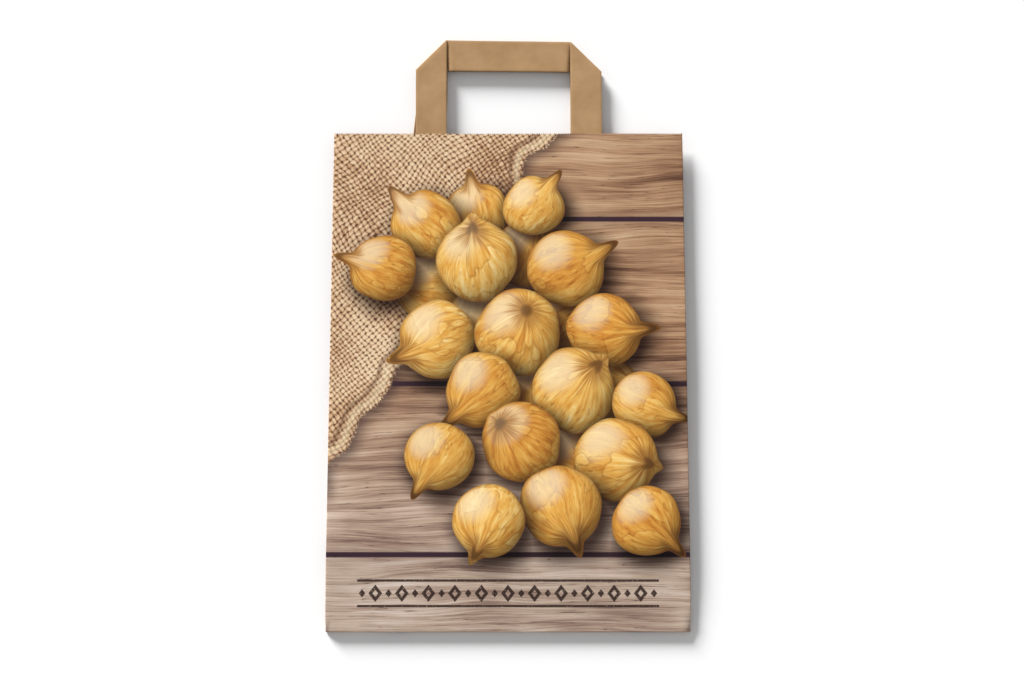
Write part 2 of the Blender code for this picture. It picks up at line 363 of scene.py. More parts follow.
@dataclass(frozen=True)
class PrintedBoards:
    """Weathered oak boards, printed in warm browns and greys: long grain, thin cracks and dark gaps.

    Attributes:
        gaps: heights of the gaps between the boards, in millimetres.
        gap_width: width of a gap, in millimetres.
        grain: distance between grain lines, in millimetres.
        slice_step: distance in the noise from one board's slice to the next.
        sway: how far the grain wanders up and down, in millimetres.
        browns_from: height over which the boards are all brown, in millimetres.
        greys_to: height under which they are all grey.
    """

    gaps: tuple[float, ...] = (46.0, 150.0, 254.0)
    gap_width: float = 3.2
    grain: float = 0.85
    slice_step: float = 37.0
    sway: float = 15.0
    browns_from: float = 190.0
    greys_to: float = 20.0

    def paint(self, tree: NodeTree, place: Socket) -> Socket:
        """Adds the boards.

        Each board takes its own slice of the noise. Long grain is noise drawn out along the board, and a
        crack runs where a slower noise passes one value.

        Args:
            tree: the material's nodes.
            place: the place on the sheet, in millimetres.

        Returns:
            Their colour.
        """
        v = tree.add(SPLIT, place, out=1)
        board: Socket | float = 0.0
        off: Socket | float = 1000.0
        for height in self.gaps:
            above = tree.add(MATH, v, height, operation="GREATER_THAN")
            board = tree.add(MATH, above, board, operation="ADD")
            away = tree.add(MATH, tree.add(MATH, v, height, operation="SUBTRACT"), operation="ABSOLUTE")
            off = tree.add(MATH, away, off, operation="MINIMUM")
        shift = tree.add(JOIN, 0.0, 0.0, tree.add(MATH, board, self.slice_step, operation="MULTIPLY"))
        moved = tree.add(VECTOR, place, shift, operation="ADD")

        wander = tree.add(VECTOR, moved, (0.009, 0.022, 1.0), operation="MULTIPLY")
        sway = tree.add(NOISE, {"Vector": wander, "Scale": 1.0, "Detail": 1.0}, out=0)
        lift = tree.add(JOIN, 0.0, tree.add(MATH, sway, self.sway, operation="MULTIPLY"), 0.0)
        lines = tree.add(VECTOR, moved, lift, operation="ADD")
        noises = []
        for length, width, detail, roughness in (
            (0.009, 0.16 / self.grain, 3.0, 0.55),
            (0.022, 0.85 / self.grain, 5.0, 0.72),
            (0.013, 0.24 / self.grain, 2.0, 0.50),
            (0.012, 0.020, 2.0, 0.50),
        ):
            at = tree.add(VECTOR, lines, (length, width, 1.0), operation="MULTIPLY")
            settings = {"Vector": at, "Scale": 1.0, "Detail": detail, "Roughness": roughness}
            noises.append(tree.add(NOISE, settings))
        broad, fine, slow, patch = noises

        tone = tree.add(MATH, broad, 0.64, -0.37, operation="MULTIPLY_ADD")
        tone = tree.add(MATH, fine, 0.64, tone, operation="MULTIPLY_ADD")
        tone = tree.add(MATH, patch, 0.45, tone, operation="MULTIPLY_ADD")
        places = (0.28, 0.80, 0.42, 0.54, 0.66)
        browns = ("#5A3D2E", "#D9BD9C", "#916B50", "#B28C6C", "#C4A382")
        warm = tree.add(RAMP, tone, stops=tuple(zip(places, browns)))
        greys = ("#6B5149", "#EADCD2", "#A68D7D", "#C4AE9C", "#D6C4B7")
        grey = tree.add(RAMP, tone, stops=tuple(zip(places, greys)))
        pale = tree.add(RANGE, v, self.browns_from, self.greys_to, 0.0, 1.0, **SMOOTH)
        wood = tree.add(MIX, {0: pale, 6: warm, 7: grey}, **PAINT)
        level = tree.add(MATH, tree.add(MATH, slow, 0.5, operation="SUBTRACT"), operation="ABSOLUTE")
        crack = tree.add(RANGE, level, 0.010, 0.0, 0.0, 1.0)
        broken = tree.add(RANGE, fine, 0.56, 0.42, 0.0, 0.9, **SMOOTH)
        crack = tree.add(MATH, crack, broken, operation="MULTIPLY")
        wood = tree.add(MIX, {0: crack, 6: wood, 7: rgba("#4B3029")}, **PAINT)
        worn = tree.add(RANGE, off, 9.0, self.gap_width / 2, 0.0, 0.30, **SMOOTH)
        wood = tree.add(MIX, {0: worn, 6: wood, 7: rgba("#5A4038")}, **PAINT)
        gap = tree.add(RANGE, off, self.gap_width * 0.62, self.gap_width * 0.38, 0.0, 1.0, **SMOOTH)
        return tree.add(MIX, {0: gap, 6: wood, 7: rgba("#3A2630")}, **PAINT)


@dataclass(frozen=True)
class PrintedBorder:
    """A worn border in dark brown: lozenges, large and small by turns, between two rules.

    Attributes:
        middle: height of the border's middle line, in millimetres.
        reach: half its length, in millimetres.
        pitch: from one large lozenge to the next, in millimetres.
        rule: distance of the rules from the middle line, in millimetres.
    """

    middle: float = 23.0
    reach: float = 91.0
    pitch: float = 16.0
    rule: float = 7.6

    def over(self, tree: NodeTree, below: Socket, place: Socket) -> Socket:
        """Prints the border over a picture.

        A lozenge is where the distances across and up, each over its half size, add up to less than 1.

        Args:
            tree: the material's nodes.
            below: the picture so far.
            place: the place on the sheet, in millimetres.

        Returns:
            The new picture.
        """
        u, v = tree.add(SPLIT, place, out=0), tree.add(SPLIT, place, out=1)
        across = tree.add(MATH, u, self.pitch / 2, operation="PINGPONG")
        between = tree.add(MATH, self.pitch / 2, across, operation="SUBTRACT")
        up = tree.add(MATH, tree.add(MATH, v, self.middle, operation="SUBTRACT"), operation="ABSOLUTE")
        ink: Socket | float = 0.0
        for distance, half_width, half_height in ((across, 4.2, 5.2), (between, 2.0, 2.5)):
            share = tree.add(MATH, distance, 1 / half_width, operation="MULTIPLY")
            share = tree.add(MATH, up, 1 / half_height, share, operation="MULTIPLY_ADD")
            mark = tree.add(RANGE, share, 1.03, 0.97, 0.0, 1.0)
            ink = tree.add(MATH, ink, mark, operation="MAXIMUM")
        heart = tree.add(MATH, across, 1 / 1.7, operation="MULTIPLY")
        heart = tree.add(MATH, up, 1 / 2.1, heart, operation="MULTIPLY_ADD")
        ink = tree.add(MATH, ink, tree.add(RANGE, heart, 1.07, 0.93, 1.0, 0.0), operation="MULTIPLY")
        from_rule = tree.add(MATH, tree.add(MATH, up, self.rule, operation="SUBTRACT"), operation="ABSOLUTE")
        ink = tree.add(MATH, ink, tree.add(RANGE, from_rule, 0.80, 0.66, 0.0, 1.0), operation="MAXIMUM")
        end = tree.add(MATH, tree.add(MATH, u, operation="ABSOLUTE"), self.reach, operation="LESS_THAN")
        wear = tree.add(NOISE, {"Vector": place, "Scale": 0.75, "Detail": 4.0, "Roughness": 0.75})
        kept = tree.add(RANGE, wear, 0.64, 0.60, 0.10, 0.95)
        ink = tree.add(MATH, tree.add(MATH, ink, end, operation="MULTIPLY"), kept, operation="MULTIPLY")
        return tree.add(MIX, {0: ink, 6: below, 7: rgba("#33231E")}, **PAINT)


@dataclass(frozen=True)
class PrintedJute:
    """A coarse plain-woven jute cloth, printed: hairy threads over and under each other, dark holes between.

    Attributes:
        thread: distance between threads, in millimetres.
        turn: angle of the warp, in degrees.
        edge: a point of the cloth's edge, in millimetres.
        edge_turn: direction of the edge, in degrees. The cloth lies on its left.
        hem: width of the rolled edge, in millimetres.
        wander: how far the edge strays from a straight line, in millimetres.
        fray: how far its fibres stand out, in millimetres.
    """

    thread: float = 2.9
    turn: float = 38.0
    edge: tuple[float, float] = (-30.0, 214.0)
    edge_turn: float = 56.0
    hem: float = 9.0
    wander: float = 60.0
    fray: float = 13.0

    def over(self, tree: NodeTree, below: Socket, place: Socket) -> Socket:
        """Paints the cloth over a picture.

        The threads' own coordinates are the place turned and bent by slow noise, counted in threads. The
        product of two sines tells which thread is on top, their sizes give the round of each thread, and
        where both are small there is a hole. Each thread has a tone of its own, picked by its number.

        Args:
            tree: the material's nodes.
            below: the picture so far.
            place: the place on the sheet, in millimetres.

        Returns:
            The new picture.
        """
        turn = math.radians(self.edge_turn)
        along, away = (math.cos(turn), math.sin(turn), 0.0), (math.sin(turn), -math.cos(turn), 0.0)
        from_edge = tree.add(VECTOR, place, (*self.edge, 0.0), operation="SUBTRACT")
        run = tree.add(VECTOR, from_edge, along, operation="DOT_PRODUCT", out="Value")
        reach = tree.add(VECTOR, from_edge, away, operation="DOT_PRODUCT", out="Value")
        bend = tree.add(NOISE, {"W": run, "Scale": 0.017, "Detail": 1.5}, noise_dimensions="1D")
        reach = tree.add(MATH, reach, self.wander / 2, operation="SUBTRACT")
        reach = tree.add(MATH, bend, self.wander, reach, operation="MULTIPLY_ADD")
        hair_at = tree.add(JOIN, run, tree.add(MATH, reach, 0.3, operation="MULTIPLY"), 0.0)
        hair = tree.add(NOISE, {"Vector": hair_at, "Scale": 1.3, "Detail": 3.0, "Roughness": 0.8})
        ragged = tree.add(MATH, reach, self.fray / 2, operation="ADD")
        ragged = tree.add(MATH, hair, -self.fray, ragged, operation="MULTIPLY_ADD")
        inside = tree.add(RANGE, ragged, 0.4, -0.4, 0.0, 1.0, **SMOOTH)

        shade = tree.add(RANGE, reach, 12.0, -1.0, 0.0, 0.75, **SMOOTH)
        below = tree.add(MIX, {0: shade, 6: below, 7: rgba("#38252A")}, **PAINT)

        slow = tree.add(NOISE, {"Vector": place, "Scale": 0.017, "Detail": 1.0}, out=1)
        push = tree.add(VECTOR, {0: slow, "Scale": 20.0}, operation="SCALE")
        quick = tree.add(NOISE, {"Vector": place, "Scale": 0.34, "Detail": 1.0}, out=1)
        shake = tree.add(VECTOR, {0: quick, "Scale": 2.3}, operation="SCALE")
        moved = tree.add(VECTOR, tree.add(VECTOR, place, push, operation="ADD"), shake, operation="ADD")
        turn = math.radians(self.turn)
        across = (math.cos(turn) / self.thread, math.sin(turn) / self.thread, 0.0)
        up = (-across[1], across[0], 0.0)
        warp = tree.add(VECTOR, moved, across, operation="DOT_PRODUCT", out="Value")
        weft = tree.add(VECTOR, moved, up, operation="DOT_PRODUCT", out="Value")
        warp_wave = tree.add(MATH, tree.add(MATH, warp, math.pi, operation="MULTIPLY"), operation="SINE")
        weft_wave = tree.add(MATH, tree.add(MATH, weft, math.pi, operation="MULTIPLY"), operation="SINE")
        product = tree.add(MATH, warp_wave, weft_wave, operation="MULTIPLY")
        warp_up = tree.add(MATH, product, 0.0, operation="GREATER_THAN")
        warp_size = tree.add(MATH, warp_wave, operation="ABSOLUTE")
        weft_size = tree.add(MATH, weft_wave, operation="ABSOLUTE")
        bulge = tree.add(MATH, tree.add(MATH, product, operation="ABSOLUTE"), 0.5, operation="MULTIPLY")
        top = tree.add(MIX, {0: warp_up, 2: weft_size, 3: warp_size}, data_type="FLOAT", out=0)
        round_top = tree.add(MATH, top, 0.5, bulge, operation="MULTIPLY_ADD")
        warp_lay = tree.add(JOIN, tree.add(MATH, warp, 9.0, operation="MULTIPLY"), weft, 0.0)
        weft_lay = tree.add(JOIN, warp, tree.add(MATH, weft, 9.0, operation="MULTIPLY"), 7.0)
        lay = tree.add(MIX, {0: warp_up, 4: weft_lay, 5: warp_lay}, data_type="VECTOR", out=1)
        fibre = tree.add(NOISE, {"Vector": lay, "Scale": 0.8, "Detail": 3.0, "Roughness": 0.8})
        folds = tree.add(NOISE, {"Vector": place, "Scale": 0.020, "Detail": 2.0, "Distortion": 0.6})
        warp_number = tree.add(JOIN, tree.add(MATH, warp, operation="FLOOR"), 0.5, 0.5)
        weft_number = tree.add(JOIN, 0.5, tree.add(MATH, weft, operation="FLOOR"), 9.5)
        number = tree.add(MIX, {0: warp_up, 4: weft_number, 5: warp_number}, data_type="VECTOR", out=1)
        each = tree.add("ShaderNodeTexWhiteNoise", number)
        tone = tree.add(MATH, round_top, 0.46, -0.33, operation="MULTIPLY_ADD")
        tone = tree.add(MATH, each, 0.16, tone, operation="MULTIPLY_ADD")
        tone = tree.add(MATH, fibre, 0.70, tone, operation="MULTIPLY_ADD")
        tone = tree.add(MATH, folds, 0.65, tone, operation="MULTIPLY_ADD")
        colours = ((0.20, "#553526"), (0.92, "#E6CCA8"), (0.42, "#8F6546"), (0.62, "#BD9570"))
        cloth = tree.add(RAMP, tone, stops=colours)
        open_share = tree.add(MATH, warp_size, weft_size, operation="ADD")
        open_share = tree.add(MATH, hair, 0.5, open_share, operation="MULTIPLY_ADD")
        hole = tree.add(RANGE, open_share, 1.24, 0.86, 0.0, 0.90, **SMOOTH)
        cloth = tree.add(MIX, {0: hole, 6: cloth, 7: rgba("#53352A")}, **PAINT)

        rolled = tree.add(MATH, reach, -1.0 / self.hem, operation="MULTIPLY")
        for middle, width, amount, colour in ((1.05, 0.30, 0.60, "#654532"), (0.50, 0.42, 0.40, "#F0DDB6")):
            off = tree.add(MATH, tree.add(MATH, rolled, middle, operation="SUBTRACT"), operation="ABSOLUTE")
            near = tree.add(RANGE, off, width, 0.0, 0.0, amount, **SMOOTH)
            cloth = tree.add(MIX, {0: near, 6: cloth, 7: rgba(colour)}, **PAINT)
        return tree.add(MIX, {0: inside, 6: below, 7: cloth}, **PAINT)


@dataclass(frozen=True)
class KraftPaper:
    """Machine-made brown kraft paper, about 90 g: dull, with short fibres, faint clouds and specks.

    Attributes:
        light: colour of the pale clouds.
        dark: colour of the dark clouds.
        roughness: how dull it is. Uncoated paper is near 0.8.
        relief: height of the fibres in the bump, as a strength.
    """

    light: str = "#BE9B76"
    dark: str = "#A98561"
    roughness: float = 0.82
    relief: float = 0.16

    def fibres(self, tree: NodeTree, place: Socket) -> tuple[Socket, Socket]:
        """Adds the fibres, at 0.25 mm across and 1.5 mm long, and the clouds at about 12 mm.

        Args:
            tree: the material's nodes.
            place: a place in millimetres.

        Returns:
            The fibres and the clouds, each from 0 to 1.
        """
        lengthwise = tree.add(VECTOR, place, (4.0, 0.7, 4.0), operation="MULTIPLY")
        fibre = tree.add(NOISE, {"Vector": lengthwise, "Scale": 1.0, "Detail": 3.0, "Roughness": 0.7})
        cloud = tree.add(NOISE, {"Vector": place, "Scale": 0.08, "Detail": 3.0, "Roughness": 0.6})
        return fibre, cloud

    def finish(self, tree: NodeTree, colour: Socket, height: Socket) -> None:
        """Ends a material with a dull shader, a fine bump and this paper's roughness.

        Args:
            tree: the material's nodes.
            colour: the colour of the surface.
            height: the fibres.
        """
        bump = tree.add("ShaderNodeBump", {"Strength": self.relief, "Distance": 0.1 * MM, "Height": height})
        shader = tree.tree.nodes["Principled BSDF"]
        shader.inputs["Roughness"].default_value = self.roughness
        shader.inputs["Specular IOR Level"].default_value = 0.12
        tree.tree.links.new(colour, shader.inputs["Base Color"])
        tree.tree.links.new(bump, shader.inputs["Normal"])

    def plain(self, name: str) -> bpy.types.Material:
        """Makes the unprinted paper, on Object coordinates.

        Args:
            name: the material's name.

        Returns:
            The material.
        """
        material = bpy.data.materials.new(name)
        material.use_nodes = True
        tree = NodeTree(material.node_tree)
        there = tree.add("ShaderNodeTexCoord", out="Object")
        place = tree.add(VECTOR, {0: there, "Scale": 1 / MM}, operation="SCALE")
        fibre, cloud = self.fibres(tree, place)
        tone = tree.add(MATH, fibre, 0.25, operation="MULTIPLY")
        tone = tree.add(MATH, cloud, 0.75, tone, operation="MULTIPLY_ADD")
        colour = tree.add(RAMP, tone, stops=((0.36, self.dark), (0.64, self.light)))
        self.finish(tree, colour, fibre)
        return material


@dataclass(frozen=True)
class Print:
    """Water-based print on kraft paper: a picture of produce on boards on the front, boards alone elsewhere.

    Attributes:
        paper: the paper that carries the print.
        boards: the printed boards.
        jute: the printed cloth.
        border: the printed border.
    """

    paper: KraftPaper = KraftPaper(roughness=0.74, relief=0.10)
    boards: PrintedBoards = PrintedBoards()
    jute: PrintedJute = PrintedJute()
    border: PrintedBorder = PrintedBorder()

    def material(self, name: str, with_picture: bool) -> bpy.types.Material:
        """Makes a printed material on the sheet's own map.

        Args:
            name: the material's name.
            with_picture: whether the cloth and the onions are printed too.

        Returns:
            The material.
        """
        material = bpy.data.materials.new(name)
        material.use_nodes = True
        tree = NodeTree(material.node_tree)
        sheet = tree.add("ShaderNodeUVMap", uv_map=UV_NAME)
        place = tree.add(VECTOR, {0: sheet, "Scale": 1 / MM}, operation="SCALE")
        picture = self.boards.paint(tree, place)
        if with_picture:
            picture = self.jute.over(tree, picture, place)
            picture = OnionPainter().over(tree, picture, place, ONIONS)
            picture = self.border.over(tree, picture, place)
        fibre, cloud = self.paper.fibres(tree, place)
        wash = tree.add(RANGE, cloud, 0.3, 0.7, 0.96, 1.03)
        grain = tree.add(RANGE, fibre, 0.25, 0.75, 0.975, 1.02)
        ink = tree.add(MATH, wash, grain, operation="MULTIPLY")
        picture = tree.add(VECTOR, {0: picture, "Scale": ink}, operation="SCALE")
        self.paper.finish(tree, picture, fibre)
        return material


class Layer(IntEnum):
    """The layers of the folded sheet, from the floor up."""

    BOTTOM = 0
    BASE_FLAP = 1
    SMALL_FLAP = 2
    TURNED_BACK = 3
    BACK = 4
    BACK_GUSSET = 5
    FRONT_GUSSET = 6
    FRONT = 7


@dataclass(frozen=True)
class Crease:
    """A fold between two layers, straight in the plan of the half bag.

    Attributes:
        start: its first end, from the middle line and from the bottom fold.
        end: its other end.
        layers: the two layers that it joins.
    """

    start: tuple[float, float]
    end: tuple[float, float]
    layers: tuple[Layer, Layer]

    def distance(self, a: np.ndarray, y: np.ndarray) -> np.ndarray:
        """Distance to the crease: to the nearest point of the straight line between its ends."""
        run = (self.end[0] - self.start[0], self.end[1] - self.start[1])
        share = ((a - self.start[0]) * run[0] + (y - self.start[1]) * run[1]) / (run[0] ** 2 + run[1] ** 2)
        share = np.clip(share, 0.0, 1.0)
        return np.hypot(a - self.start[0] - share * run[0], y - self.start[1] - share * run[1])


@dataclass(frozen=True)
class Corner:
    """A point of the half bag where four creases meet.

    Attributes:
        place: from the middle line and from the bottom fold.
        height: of the point over the floor.
        reach: how far along its creases it pulls them to that height.
    """

    place: tuple[float, float]
    height: float
    reach: float


@dataclass
class FoldedSheet:
    """The bag's sheet, folded flat with inward gussets and a block bottom turned up behind the back.

    Attributes:
        low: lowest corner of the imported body.
        high: its highest corner.
        gusset: depth of the gussets and of the bottom.
        sheet: thickness of the paper. A real one is 0.12 mm, drawn twice as thick so that its edge shows.
        pitch: height from one pressed layer to the next.
        ramp: length over which the back comes down from the folded bottom.
        crease_radius: width of the rounded part of a crease.
        spring: how far the front stands over the bottom at the bottom fold, which isn't pressed flat.
        column: distance between columns of the mesh. The mouth has two teeth in each.
        tooth_depth: depth of the teeth that the saw knife leaves along the mouth.
        tooth_band: height of the strip of faces whose upper sides are those teeth.
        row: distance between rows of the mesh.
        wave: height of the sheet's slow waves, as a share of the height over the floor.
    """

    low: Vector
    high: Vector
    gusset: float = 100 * MM
    sheet: float = 0.25 * MM
    pitch: float = 0.42 * MM
    ramp: float = 45 * MM
    crease_radius: float = 0.5 * MM
    spring: float = 4.4 * MM
    column: float = 2.8 * MM
    tooth_depth: float = 1.0 * MM
    tooth_band: float = 3 * MM
    row: float = 10 * MM
    wave: float = 0.06
    side: float = field(init=False)
    height: float = field(init=False)
    half: float = field(init=False)
    inner: float = field(init=False)
    creases: tuple[Crease, ...] = field(init=False)
    corners: tuple[Corner, ...] = field(init=False)

    def __post_init__(self) -> None:
        """Works out the panel sizes and the creases."""
        self.side = (self.high.x - self.low.x) / 2
        self.height = self.high.y - self.low.y
        self.half = self.gusset / 2
        self.inner = self.side - self.half
        side, inner, half, deep, mouth = self.side, self.inner, self.half, self.gusset, self.height
        self.creases = (
            Crease((side, 0), (side, mouth), (Layer.FRONT, Layer.FRONT_GUSSET)),
            Crease((inner, half), (inner, mouth), (Layer.FRONT_GUSSET, Layer.BACK_GUSSET)),
            Crease((side, half), (side, mouth), (Layer.BACK_GUSSET, Layer.BACK)),
            Crease((0, half), (side, half), (Layer.BACK, Layer.TURNED_BACK)),
            Crease((inner, half), (side, half), (Layer.BACK_GUSSET, Layer.SMALL_FLAP)),
            Crease((side, half), (side, deep), (Layer.SMALL_FLAP, Layer.TURNED_BACK)),
            Crease((inner, half), (side, deep), (Layer.SMALL_FLAP, Layer.BASE_FLAP)),
            Crease((inner, half), (side, 0), (Layer.FRONT_GUSSET, Layer.BASE_FLAP)),
            Crease((side, 0), (side, deep), (Layer.BASE_FLAP, Layer.BOTTOM)),
            Crease((0, deep), (side, deep), (Layer.TURNED_BACK, Layer.BOTTOM)),
            Crease((0, 0), (side, 0), (Layer.FRONT, Layer.BOTTOM)),
        )
        floor = self.sheet * 0.6
        self.corners = (
            Corner((side, 0), floor + 1.5 * self.pitch, 2 * MM),
            Corner((side, half), floor + 3.5 * self.pitch, 2 * MM),
            Corner((side, deep), floor + 1.5 * self.pitch, 2 * MM),
            Corner((inner, half), floor + 3.5 * self.pitch, 7 * MM),
        )

    def level(self, layer: Layer, a: np.ndarray, y: np.ndarray) -> np.ndarray:
        """Height of the middle of a layer away from its creases.

        The four lowest layers lie a pitch apart. The back rests on them and eases down to the floor. The
        front eases up from the bottom fold. The gussets part from the panels in a straight V.

        Args:
            layer: which one.
            a: distance from the middle line.
            y: distance from the bottom fold.

        Returns:
            The heights.
        """
        floor = self.sheet * 0.6
        rise = Layer.BACK * self.pitch
        up, down = ease(y / self.half), 1 - ease((y - self.gusset) / self.ramp)
        back = floor + rise * np.where(y < self.half, up, down)
        front_low = floor + self.spring
        front = front_low + (self.high.z - self.sheet - front_low) * ease(y / self.half)
        across = np.clip((self.side - a) / np.maximum(np.minimum(y, self.half), 1e-6), 0.0, 1.0)
        if layer < Layer.BACK:
            return floor + layer * self.pitch + 0 * y
        if layer == Layer.BACK:
            return back
        if layer == Layer.FRONT:
            return front
        if layer == Layer.BACK_GUSSET:
            return (back + self.pitch) * (1 - across) + ((back + front) / 2 - self.pitch / 2) * across
        return (front - self.pitch) * (1 - across) + ((back + front) / 2 + self.pitch / 2) * across

    def crease_level(self, crease: Crease, a: np.ndarray, y: np.ndarray) -> np.ndarray:
        """Height of a crease: midway between its layers, and at a corner the height they share."""
        first, second = crease.layers
        level = (self.level(first, a, y) + self.level(second, a, y)) / 2
        for corner in self.corners:
            if corner.place in (crease.start, crease.end):
                pull = np.exp(-((a - corner.place[0]) ** 2 + (y - corner.place[1]) ** 2) / corner.reach**2)
                level = level + (corner.height - level) * pull
        return level

    def surface(self, layer: Layer, x: np.ndarray, y: np.ndarray) -> np.ndarray:
        """Places a layer in space.

        Near a crease the height follows a quarter of an ellipse to the crease's own height. Where several
        creases are near, each counts by its weight over one less its weight, so that each holds on its own
        line. Slow waves then raise and lower all layers by the same share of their height.

        Args:
            layer: which one.
            x: places across.
            y: places up from the bottom fold.

        Returns:
            Points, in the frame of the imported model.
        """
        a = np.abs(x)
        own = self.level(layer, a, y)
        total, weight = own.copy(), np.ones_like(own)
        for crease in self.creases:
            if layer not in crease.layers:
                continue
            target = self.crease_level(crease, a, y)
            radius = np.maximum(self.crease_radius, 0.5 * np.abs(target - own))
            near = np.clip(1 - crease.distance(a, y) / radius, 0.0, 1.0)
            share = 1 - np.sqrt(1 - near**2)
            pull = share / (1 - share + 1e-7)
            total += pull * target
            weight += pull
        z = total / weight
        if layer in (Layer.BASE_FLAP, Layer.SMALL_FLAP, Layer.BACK_GUSSET, Layer.FRONT_GUSSET):
            clear = 1 - np.exp(-(((self.side - a) / (3 * MM)) ** 2))
            y = y - self.pitch * clear * np.exp(-(((y - self.half) / (3 * MM)) ** 2))
        slow = (
            0.5 * np.sin(31 * x + 17 * y + 0.6)
            + 0.35 * np.sin(-44 * x + 25 * y + 2.1)
            + 0.3 * np.sin(12 * x - 58 * y + 4.0)
        )
        z = z * (1 + self.wave * slow * ease(y / self.half))
        return np.stack([x, y + self.low.y, z], axis=-1)

    def samples(self) -> dict[str, np.ndarray]:
        """Rows and columns of the mesh: evenly spaced, and closer at the creases."""
        bend = self.crease_radius * (1 - np.cos(np.radians([0, 30, 60, 90])))
        edge, side, half = self.crease_radius, self.side, self.half
        low = np.linspace(edge, half - edge, round(half / self.row) + 2)
        rows = round((self.height - half) / self.row) + 1
        high = np.linspace(half + edge, self.height - self.tooth_band, rows)
        to_side = np.linspace(0.0, side - edge, round(side / self.column) + 1)
        over_gusset = np.linspace(edge, half - edge, round(half / self.column) + 1)
        right = np.concatenate([to_side[1:], side - bend[-2::-1]])
        return {
            "low": np.concatenate([bend[:-1], low, half - bend[-2::-1]]),
            "high": np.concatenate([half + bend[:-1], high, [self.height]]),
            "across": np.concatenate([-right[::-1], [0.0], right]),
            "gusset": np.concatenate([bend[:-1], over_gusset, half - bend[-2::-1]]),
        }

    def blocks(self) -> list[tuple[Layer, np.ndarray, np.ndarray, np.ndarray, np.ndarray]]:
        """The layers as grids.

        Each grid gives places in the plan and the same places on the unfolded sheet, where u runs round the
        bag from the middle of the front and v up from the bottom fold. The triangles are grids whose rows
        shrink towards a corner.

        Returns:
            For each grid its layer, x, y, u and v.
        """
        at = self.samples()
        side, deep = self.side, self.gusset
        rows = np.concatenate([at["low"], at["high"][1:]])
        base_rows = np.concatenate([at["low"], deep - at["low"][-2::-1]])
        found = []
        y, x = np.meshgrid(rows, at["across"], indexing="ij")
        found.append((Layer.FRONT, x, y, x, y))
        y, x = np.meshgrid(at["high"], at["across"], indexing="ij")
        found.append((Layer.BACK, x, y, side + deep + (side - x), y))
        h, x = np.meshgrid(at["low"], at["across"], indexing="ij")
        found.append((Layer.TURNED_BACK, x, deep - h, side + deep + (side - x), h))
        y, x = np.meshgrid(base_rows, at["across"], indexing="ij")
        found.append((Layer.BOTTOM, x, y, x, -y))
        for hand in (1, -1):
            h, q = np.meshgrid(at["high"], at["gusset"], indexing="ij")
            found.append((Layer.FRONT_GUSSET, hand * (side - q), h, hand * (side + q), h))
            found.append((Layer.BACK_GUSSET, hand * (side - q), h, hand * (side + deep - q), h))
            h, share = np.meshgrid(at["low"], at["gusset"] / self.half, indexing="ij")
            q = h * share
            found.append((Layer.FRONT_GUSSET, hand * (side - q), h, hand * (side + q), h))
            found.append((Layer.SMALL_FLAP, hand * (side - q), deep - h, hand * (side + deep - q), h))
            found.append((Layer.BASE_FLAP, hand * (side - q), h, hand * (side + h), q))
            found.append((Layer.BASE_FLAP, hand * (side - q), deep - h, hand * (side + deep - h), q))
        return found

    def sawn(
        self, layer: Layer, x: np.ndarray, y: np.ndarray, u: np.ndarray
    ) -> tuple[np.ndarray, np.ndarray]:
        """Points of the saw edge between the columns of the mouth.

        Each column's width holds two teeth, so three points stand between its ends: valley, tip, valley. In
        the narrow columns of a crease the teeth are as shallow as they are narrow.

        Args:
            layer: which one.
            x: places across, along the mouth.
            y: places up, along the mouth.
            u: places along the unfolded sheet.

        Returns:
            The points and their places on the unfolded sheet, three for each column.
        """
        share = np.array([0.25, 0.5, 0.75])
        width = np.hypot(np.diff(x), np.diff(y))
        depth = np.minimum(self.tooth_depth, 0.4 * width)[:, None] * np.array([1.0, 0.0, 1.0])
        between = [line[:-1, None] + np.diff(line)[:, None] * share for line in (x, y, u)]
        at_x, at_y, at_u = between[0], between[1] - depth, between[2]
        points = self.surface(layer, at_x, at_y)
        return points.reshape(-1, 3), np.stack([at_u, at_y], axis=-1).reshape(-1, 2)

    def build(self, name: str, materials: list[bpy.types.Material]) -> bpy.types.Object:
        """Makes the folded sheet as one closed mesh.

        Args:
            name: the piece's name.
            materials: the front, the other outsides, and the inside twice.

        Returns:
            The piece.
        """
        points, places, faces, slots = [], [], [], []
        count = 0
        for layer, x, y, u, v in self.blocks():
            points.append(self.surface(layer, x, y).reshape(-1, 3))
            places.append(np.stack([u, v], axis=-1).reshape(-1, 2))
            index = count + np.arange(x.size).reshape(x.shape)
            count += x.size
            quads = np.stack([index[:-1, :-1], index[:-1, 1:], index[1:, 1:], index[1:, :-1]], axis=-1)
            block = quads.reshape(-1, 4).tolist()
            if y.max() > self.height - 1e-6:
                teeth, teeth_places = self.sawn(layer, x[-1], y[-1], u[-1])
                points.append(teeth)
                places.append(teeth_places)
                tips = count + np.arange(len(teeth)).reshape(-1, 3)
                count += len(teeth)
                top = quads[-1]
                saw = np.concatenate([top[:, :3], tips[:, ::-1], top[:, 3:]], axis=1)
                block = quads[:-1].reshape(-1, 4).tolist() + saw.tolist()
            first = u[1:, 1:] - u[:-1, :-1], v[1:, 1:] - v[:-1, :-1]
            second = u[1:, :-1] - u[:-1, 1:], v[1:, :-1] - v[:-1, 1:]
            if np.sum(first[0] * second[1] - first[1] * second[0]) < 0:
                block = [corners[::-1] for corners in block]
            faces += block
            slots += [0 if layer == Layer.FRONT else 1] * len(block)
        mesh = bpy.data.meshes.new(name)
        mesh.from_pydata(np.concatenate(points), [], faces)
        where = np.concatenate(places)[np.concatenate([np.array(corners) for corners in faces])]
        mesh.uv_layers.new(name=UV_NAME).data.foreach_set("uv", where.astype(np.float32).ravel())
        mesh.polygons.foreach_set("material_index", np.array(slots, dtype=np.int32))
        for material in materials:
            mesh.materials.append(material)
        work = bmesh.new()
        work.from_mesh(mesh)
